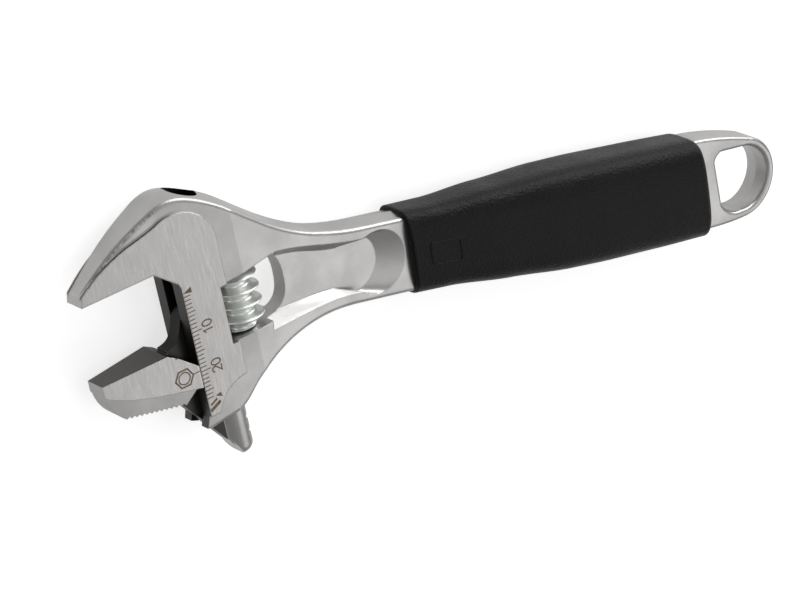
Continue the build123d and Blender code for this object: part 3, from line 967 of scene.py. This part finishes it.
@dataclass
class Sleeve:
    """The moulded sleeve: a waisted, crowned bar with slanted, rounded ends, in millimetres.

    Each station is a share of the length with half the width and half the thickness there.
    """

    front_x: float = 65.2
    back_x: float = 158.0
    slant: float = 12.0
    stations: tuple[tuple[float, float, float], ...] = (
        (0.0, 10.45, 6.25), (0.12, 10.5, 6.7), (0.3, 11.7, 7.8), (0.5, 12.85, 8.6),
        (0.62, 13.05, 8.75), (0.82, 13.0, 8.4), (1.0, 12.85, 7.7),
    )
    front_round: float = 0.7
    back_round: float = 2.2
    end_share: float = 0.55
    squareness: float = 4.2
    crown: float = 0.045
    rows: int = 150
    around: int = 128
    finish: Finish = field(default_factory=lambda: GrainedSleeve("grained_sleeve"))

    @property
    def length(self) -> float:
        """The sleeve's length along its middle."""
        return self.back_x - self.front_x

    @property
    def lean(self) -> float:
        """How far the ends lean back for each millimetre across."""
        return math.tan(math.radians(self.slant))

    def build(self) -> bpy.types.Object:
        """Build the sleeve's skin with closed ends.

        Returns:
            The sleeve's object.
        """
        mesh = bmesh.new()
        turns = [math.pi * row / self.rows for row in range(self.rows + 1)]
        places = [self.length * (0.5 - 0.5 * math.cos(turn)) for turn in turns]
        ends = [self.ring(place, self.end_share) for place in (0.0, self.length)]
        skin(mesh, [ends[0], *(self.ring(place, 1.0) for place in places), ends[1]])
        mesh.verts.ensure_lookup_table()
        for first in (0, len(mesh.verts) - self.around):
            mesh.faces.new([mesh.verts[first + index] for index in range(self.around)])
        piece = mesh_piece("sleeve_skin", mesh, self.finish, Body.FRAME)
        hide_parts("grip_sleeve")
        return piece

    def half_sizes(self, share: float) -> tuple[float, float]:
        """Find the section's size, eased between stations.

        Args:
            share: Share of the length from the front end.

        Returns:
            Half the width and half the thickness.
        """
        for (low, w0, t0), (high, w1, t1) in zip(self.stations, self.stations[1:]):
            if share <= high:
                ease = (share - low) / (high - low)
                ease = ease * ease * (3 - 2 * ease) * 0.5 + ease * 0.5
                return w0 + (w1 - w0) * ease, t0 + (t1 - t0) * ease
        return self.stations[-1][1], self.stations[-1][2]

    def inset(self, place: float) -> float:
        """Find how far the skin draws in near a rounded end.

        Args:
            place: Distance from the front end.

        Returns:
            The inset, 0 away from the ends.
        """
        for room, radius in ((place, self.front_round), (self.length - place, self.back_round)):
            if room < radius:
                return radius - math.sqrt(max(0.0, radius**2 - (radius - room) ** 2))
        return 0.0

    def ring(self, place: float, share: float) -> list[Vector]:
        """One ring round the sleeve.

        Args:
            place: Distance from the front end.
            share: Share of the full section, under 1 for the ends' inner rings.

        Returns:
            The ring's points.
        """
        width, half = self.half_sizes(place / self.length)
        inset = self.inset(place) if share == 1.0 else 0.0
        width = (width - inset) * share
        half = (half - inset) * share
        points = []
        for index in range(self.around):
            y, z = self.section(width, half, 2 * math.pi * index / self.around)
            points.append(HEAD.handle_point(self.front_x + place - y * self.lean, y, z))
        return points

    def section(self, width: float, half: float, angle: float) -> Point:
        """Find a point of a rounded section with slightly crowned faces.

        Args:
            width: Half the section's width.
            half: Half its thickness.
            angle: Where the point lies round the section.

        Returns:
            The point across the handle and up.
        """
        power = 2 / self.squareness
        c, s = math.cos(angle), math.sin(angle)
        y = width * math.copysign(abs(c) ** power, c)
        z = half * math.copysign(abs(s) ** power, s)
        return y, z * (1 - self.crown * (y / width) ** 2)

    def top(self, x: float, y: float) -> float:
        """Find the height of the upper surface.

        Args:
            x: Place along the handle.
            y: Place across it.

        Returns:
            The height over mid thickness.
        """
        width, half = self.half_sizes((x + y * self.lean - self.front_x) / self.length)
        out = min(1.0, abs(y) / width) ** self.squareness
        return half * (1 - out) ** (1 / self.squareness) * (1 - self.crown * (y / width) ** 2)


# Marks


@dataclass
class Marks:
    """The etched scale on the head, and the nut symbol with its pointer on the jaw.

    Points are along J and S from the scale's zero mark, in millimetres.
    """

    lift: float = 0.018
    stroke: float = 0.25
    count: int = 27
    edge_j: float = 0.02
    short: float = 1.7
    five: float = 2.15
    ten: float = 2.6
    zero_mark: tuple[Point, ...] = ((0.02, -0.1), (2.32, 0.85), (2.32, -0.5))
    figure_high: float = 2.4
    figure_j: float = 5.3
    figure_advance: float = 1.75
    figure_stroke: float = 0.36
    numbers: tuple[tuple[str, float], ...] = (("10", -10.0), ("20", -20.0))
    span_bar: tuple[Point, ...] = ((0.2, -30.3), (3.1, -28.8))
    span_bar_stroke: float = 0.75
    span_dash: tuple[Point, ...] = ((0.5, -28.9), (2.4, -27.9))
    span_dash_stroke: float = 0.5
    span_wedge: tuple[Point, ...] = ((2.2, -27.1), (3.9, -28.0), (3.6, -26.7))
    nut: Point = (-4.26, -19.65)
    nut_radius: float = 2.32
    nut_stroke: float = 0.4
    nut_hole_share: float = 0.62
    nut_hole_stroke: float = 0.32
    pointer_end: Point = (-0.2, -19.6)
    pointer_stroke: float = 0.24
    mitre_limit: float = 0.5
    finish: Finish = field(default_factory=lambda: EtchedMark("etched_mark"))

    def build(self) -> None:
        """Build the marks of the head and of the jaw."""
        head = bmesh.new()
        for step in range(1, self.count + 1):
            length = self.ten if step % 10 == 0 else self.five if step % 5 == 0 else self.short
            self.line(head, [(self.edge_j, -step), (self.edge_j + length, -step)], self.stroke)
        self.patch(head, self.zero_mark)
        for value, place in self.numbers:
            self.figures(head, value, place)
        self.line(head, self.span_bar, self.span_bar_stroke)
        self.line(head, self.span_dash, self.span_dash_stroke)
        self.patch(head, self.span_wedge)
        mesh_piece("scale_marks", head, self.finish, Body.FRAME, False)
        jaw = bmesh.new()
        self.line(jaw, self.arc(self.nut, self.nut_radius, range(0, 361, 60)), self.nut_stroke)
        hole_radius = self.nut_radius * self.nut_hole_share
        self.line(jaw, self.arc(self.nut, hole_radius, range(0, 361, 10)), self.nut_hole_stroke)
        pointer_start = (self.nut[0] + self.nut_radius, self.nut[1])
        self.line(jaw, [pointer_start, self.pointer_end], self.pointer_stroke)
        mesh_piece("nut_symbol", jaw, self.finish, Body.JAW, False)

    def arc(self, centre: Point, radius: float, degrees: Sequence[int], stretch: float = 1.0) -> list[Point]:
        """Points round a centre.

        Args:
            centre: The centre.
            radius: The radius along the first axis.
            degrees: The angle of each point.
            stretch: The radius along the second axis, as a share of the first.

        Returns:
            The points.
        """
        turns = [math.radians(angle) for angle in degrees]
        return [(centre[0] + radius * math.cos(turn), centre[1] + radius * stretch * math.sin(turn))
                for turn in turns]

    def surface(self, point: Point) -> Vector:
        """The place of a mark's point on the ground face."""
        j, s = point
        return HEAD.point(j, s, FACE_HALF + FACE_TAPER * j + self.lift)

    def patch(self, mesh: BMesh, points: Sequence[Point]) -> None:
        """A filled flat shape."""
        mesh.faces.new([mesh.verts.new(self.surface(point)) for point in points])

    def line(self, mesh: BMesh, points: Sequence[Point], width: float) -> None:
        """Add a stroke along a path, as one mitred strip.

        Args:
            mesh: The mesh to add to.
            points: The path, closed when it ends where it starts.
            width: The stroke's width.
        """
        left, right = [], []
        last = len(points) - 1
        closed = math.dist(points[0], points[-1]) < 1e-6
        before_first, after_last = (points[last - 1], points[1]) if closed else (None, None)
        for index, here in enumerate(points):
            before = points[index - 1] if index else before_first
            after = points[index + 1] if index < last else after_last
            ahead = [self.direction(a, b) for a, b in ((before, here), (here, after)) if a and b]
            along = (sum(d[0] for d in ahead), sum(d[1] for d in ahead))
            size = math.hypot(*along)
            normal = (-along[1] / size, along[0] / size)
            square = normal[0] * -ahead[0][1] + normal[1] * ahead[0][0]
            reach = width / 2 / max(self.mitre_limit, square)
            left.append((here[0] + normal[0] * reach, here[1] + normal[1] * reach))
            right.append((here[0] - normal[0] * reach, here[1] - normal[1] * reach))
        skin(mesh, [[self.surface(point) for point in side] for side in (left, right)], closed=False)

    def direction(self, start: Point, end: Point) -> Point:
        """The unit direction from one point to another."""
        size = math.dist(start, end)
        return (end[0] - start[0]) / size, (end[1] - start[1]) / size

    def figures(self, mesh: BMesh, value: str, place: float) -> None:
        """Add a number that reads along the slot, with its top towards the slot.

        Args:
            mesh: The mesh to add to.
            value: The number's figures.
            place: The S of its middle.
        """
        start = place - self.figure_advance * len(value) / 2
        for index, figure in enumerate(value):
            middle = start + self.figure_advance * (index + 0.5)
            path = [(self.figure_j - y * self.figure_high, middle + x) for x, y in self.outline(figure)]
            self.line(mesh, path, self.figure_stroke)

    def outline(self, figure: str) -> list[Point]:
        """Find the stroke of a figure.

        Args:
            figure: One of 0, 1 and 2.

        Returns:
            Its path, x in millimetres about the figure's middle and y from 0 to 1.
        """
        if figure == "1":
            return [(-0.55, 0.72), (0.12, 1.0), (0.12, 0.0)]
        if figure == "0":
            return self.arc((0.0, 0.5), 0.72, range(0, 361, 15), 0.5 / 0.72)
        bow = self.arc((0.0, 0.72), 0.68, range(165, -46, -15), 0.28 / 0.68)
        return [*bow, (-0.72, 0.02), (0.78, 0.02)]


@dataclass
class SleeveBadge:
    """A plain raised rounded frame on the sleeve's upper face, in millimetres."""

    centre: Point = (74.6, -0.5)
    half_long: float = 4.5
    half_wide: float = 2.9
    corner: float = 1.0
    corner_steps: int = 8
    width: float = 0.4
    height: float = 0.14
    sink: float = 0.1
    bevel: float = 0.05

    def build(self, sleeve: Sleeve) -> bpy.types.Object:
        """Build the raised frame.

        Args:
            sleeve: The sleeve that it lies on.

        Returns:
            The frame's object.
        """
        mesh = bmesh.new()
        offsets = ((0.0, -self.sink), (self.bevel, self.height),
                   (self.width - self.bevel, self.height), (self.width, -self.sink))
        skin(mesh, [self.loop(sleeve, inward, up) for inward, up in offsets])
        return mesh_piece("sleeve_badge", mesh, sleeve.finish, Body.FRAME)

    def loop(self, sleeve: Sleeve, inward: float, up: float) -> list[Vector]:
        """A rounded rectangle laid on the sleeve.

        Args:
            sleeve: The sleeve that it lies on.
            inward: How far it is drawn in.
            up: Height over the sleeve.

        Returns:
            The loop's points.
        """
        points = []
        radius = self.corner
        for quarter, (side_x, side_y) in enumerate(((1, 1), (-1, 1), (-1, -1), (1, -1))):
            for step in range(self.corner_steps + 1):
                turn = math.radians(90 * (quarter + step / self.corner_steps))
                y = side_y * (self.half_wide - radius) + (radius - inward) * math.sin(turn)
                x = side_x * (self.half_long - radius) + (radius - inward) * math.cos(turn)
                place = (self.centre[0] + x - y * sleeve.lean, self.centre[1] + y)
                points.append(HEAD.handle_point(*place, sleeve.top(*place) + up))
        return points


# Studio


@dataclass(frozen=True)
class Softbox:
    """A soft rectangular light that looks at the wrench, in metres and watts."""

    name: str
    place: tuple[float, float, float]
    width: float
    height: float
    power: float

    def build(self) -> None:
        """Add the light to the scene."""
        data = bpy.data.lights.new(self.name, "AREA")
        data.shape = "RECTANGLE"
        data.size = self.width
        data.size_y = self.height
        data.energy = self.power
        light = bpy.data.objects.new(self.name, data)
        turn = Vector(self.place).to_track_quat("Z", "Y").to_matrix().to_4x4()
        light.matrix_world = Matrix.Translation(self.place) @ turn
        bpy.context.scene.collection.objects.link(light)


@dataclass
class Studio:
    """Floor, soft lights and the camera at the working angle.

    Aim, distance, lens and sensor are in millimetres, angles in degrees, and the floor in metres.
    """

    aim: tuple[float, float, float] = (-12.36, -5.74, 8.85)
    distance: float = 908.2
    azimuth: float = 152.33
    elevation: float = 47.26
    roll: float = 112.33
    lens: float = 175.56
    sensor: float = 36.0
    floor_size: float = 6.0
    surround: Colour = grey(0.92)
    surround_strength: float = 0.33
    softboxes: tuple[Softbox, ...] = (
        Softbox("overhead", (0.75, -0.35, 0.95), 0.8, 0.8, 1.75),
        Softbox("far_side", (0.7, 0.95, 0.45), 1.3, 0.6, 8.5),
        Softbox("top_fill", (-0.2, 0.2, 1.6), 1.4, 1.4, 3.0),
    )

    def build(self) -> None:
        """Build the whole studio."""
        self.add_floor()
        self.add_camera()
        self.add_world()
        bpy.context.scene.view_settings.view_transform = "Standard"
        for softbox in self.softboxes:
            softbox.build()

    def add_floor(self) -> None:
        """A plain pale floor that the wrench lies on."""
        mesh = bmesh.new()
        half = self.floor_size / 2
        corners = ((-half, -half), (half, -half), (half, half), (-half, half))
        mesh.faces.new([mesh.verts.new((x, y, 0.0)) for x, y in corners])
        data = bpy.data.meshes.new("floor")
        mesh.to_mesh(data)
        mesh.free()
        data.materials.append(PaleFloor("pale_floor").material())
        floor = bpy.data.objects.new("floor", data)
        floor.location.z = CAD_BOX[0].z
        bpy.context.scene.collection.objects.link(floor)

    def add_camera(self) -> None:
        """The camera, by direction, distance and roll about the aim point."""
        data = bpy.data.cameras.new("camera")
        data.lens = self.lens
        data.sensor_width = self.sensor
        camera = bpy.data.objects.new("camera", data)
        bpy.context.scene.collection.objects.link(camera)
        turn, rise = math.radians(self.azimuth), math.radians(self.elevation)
        back = Vector((math.cos(turn) * math.cos(rise), math.sin(turn) * math.cos(rise), math.sin(rise)))
        level = back.to_track_quat("Z", "Y").to_matrix()
        rolled = level @ Matrix.Rotation(math.radians(self.roll), 3, "Z")
        place = (Vector(self.aim) + back * self.distance) * MM
        camera.matrix_world = Matrix.Translation(place) @ rolled.to_4x4()
        bpy.context.scene.camera = camera

    def add_world(self) -> None:
        """An even pale surround."""
        world = bpy.data.worlds.new("surround")
        world.use_nodes = True
        background = world.node_tree.nodes["Background"]
        background.inputs["Color"].default_value = self.surround
        background.inputs["Strength"].default_value = self.surround_strength
        bpy.context.scene.world = world


def main() -> None:
    """Build and dress every piece, then the studio."""
    logging.basicConfig(level=logging.INFO, format="%(name)s: %(message)s")
    PackedPiece("wrench_body", ForgedChrome("forged_chrome")).build()
    PackedPiece("movable_jaw", JawSteel("sliding_jaw_steel")).build()
    PackedPiece("worm_pin", TurnedSteel("turned_steel")).build()
    PackedPiece("worm_spring", TurnedSteel("spring_wire", metal=grey(0.34, 0.01))).build()
    Worm().build()
    sleeve = Sleeve()
    sleeve.build()
    SleeveBadge().build(sleeve)
    Marks().build()
    Studio().build()


if __name__ == "__main__":
    main()
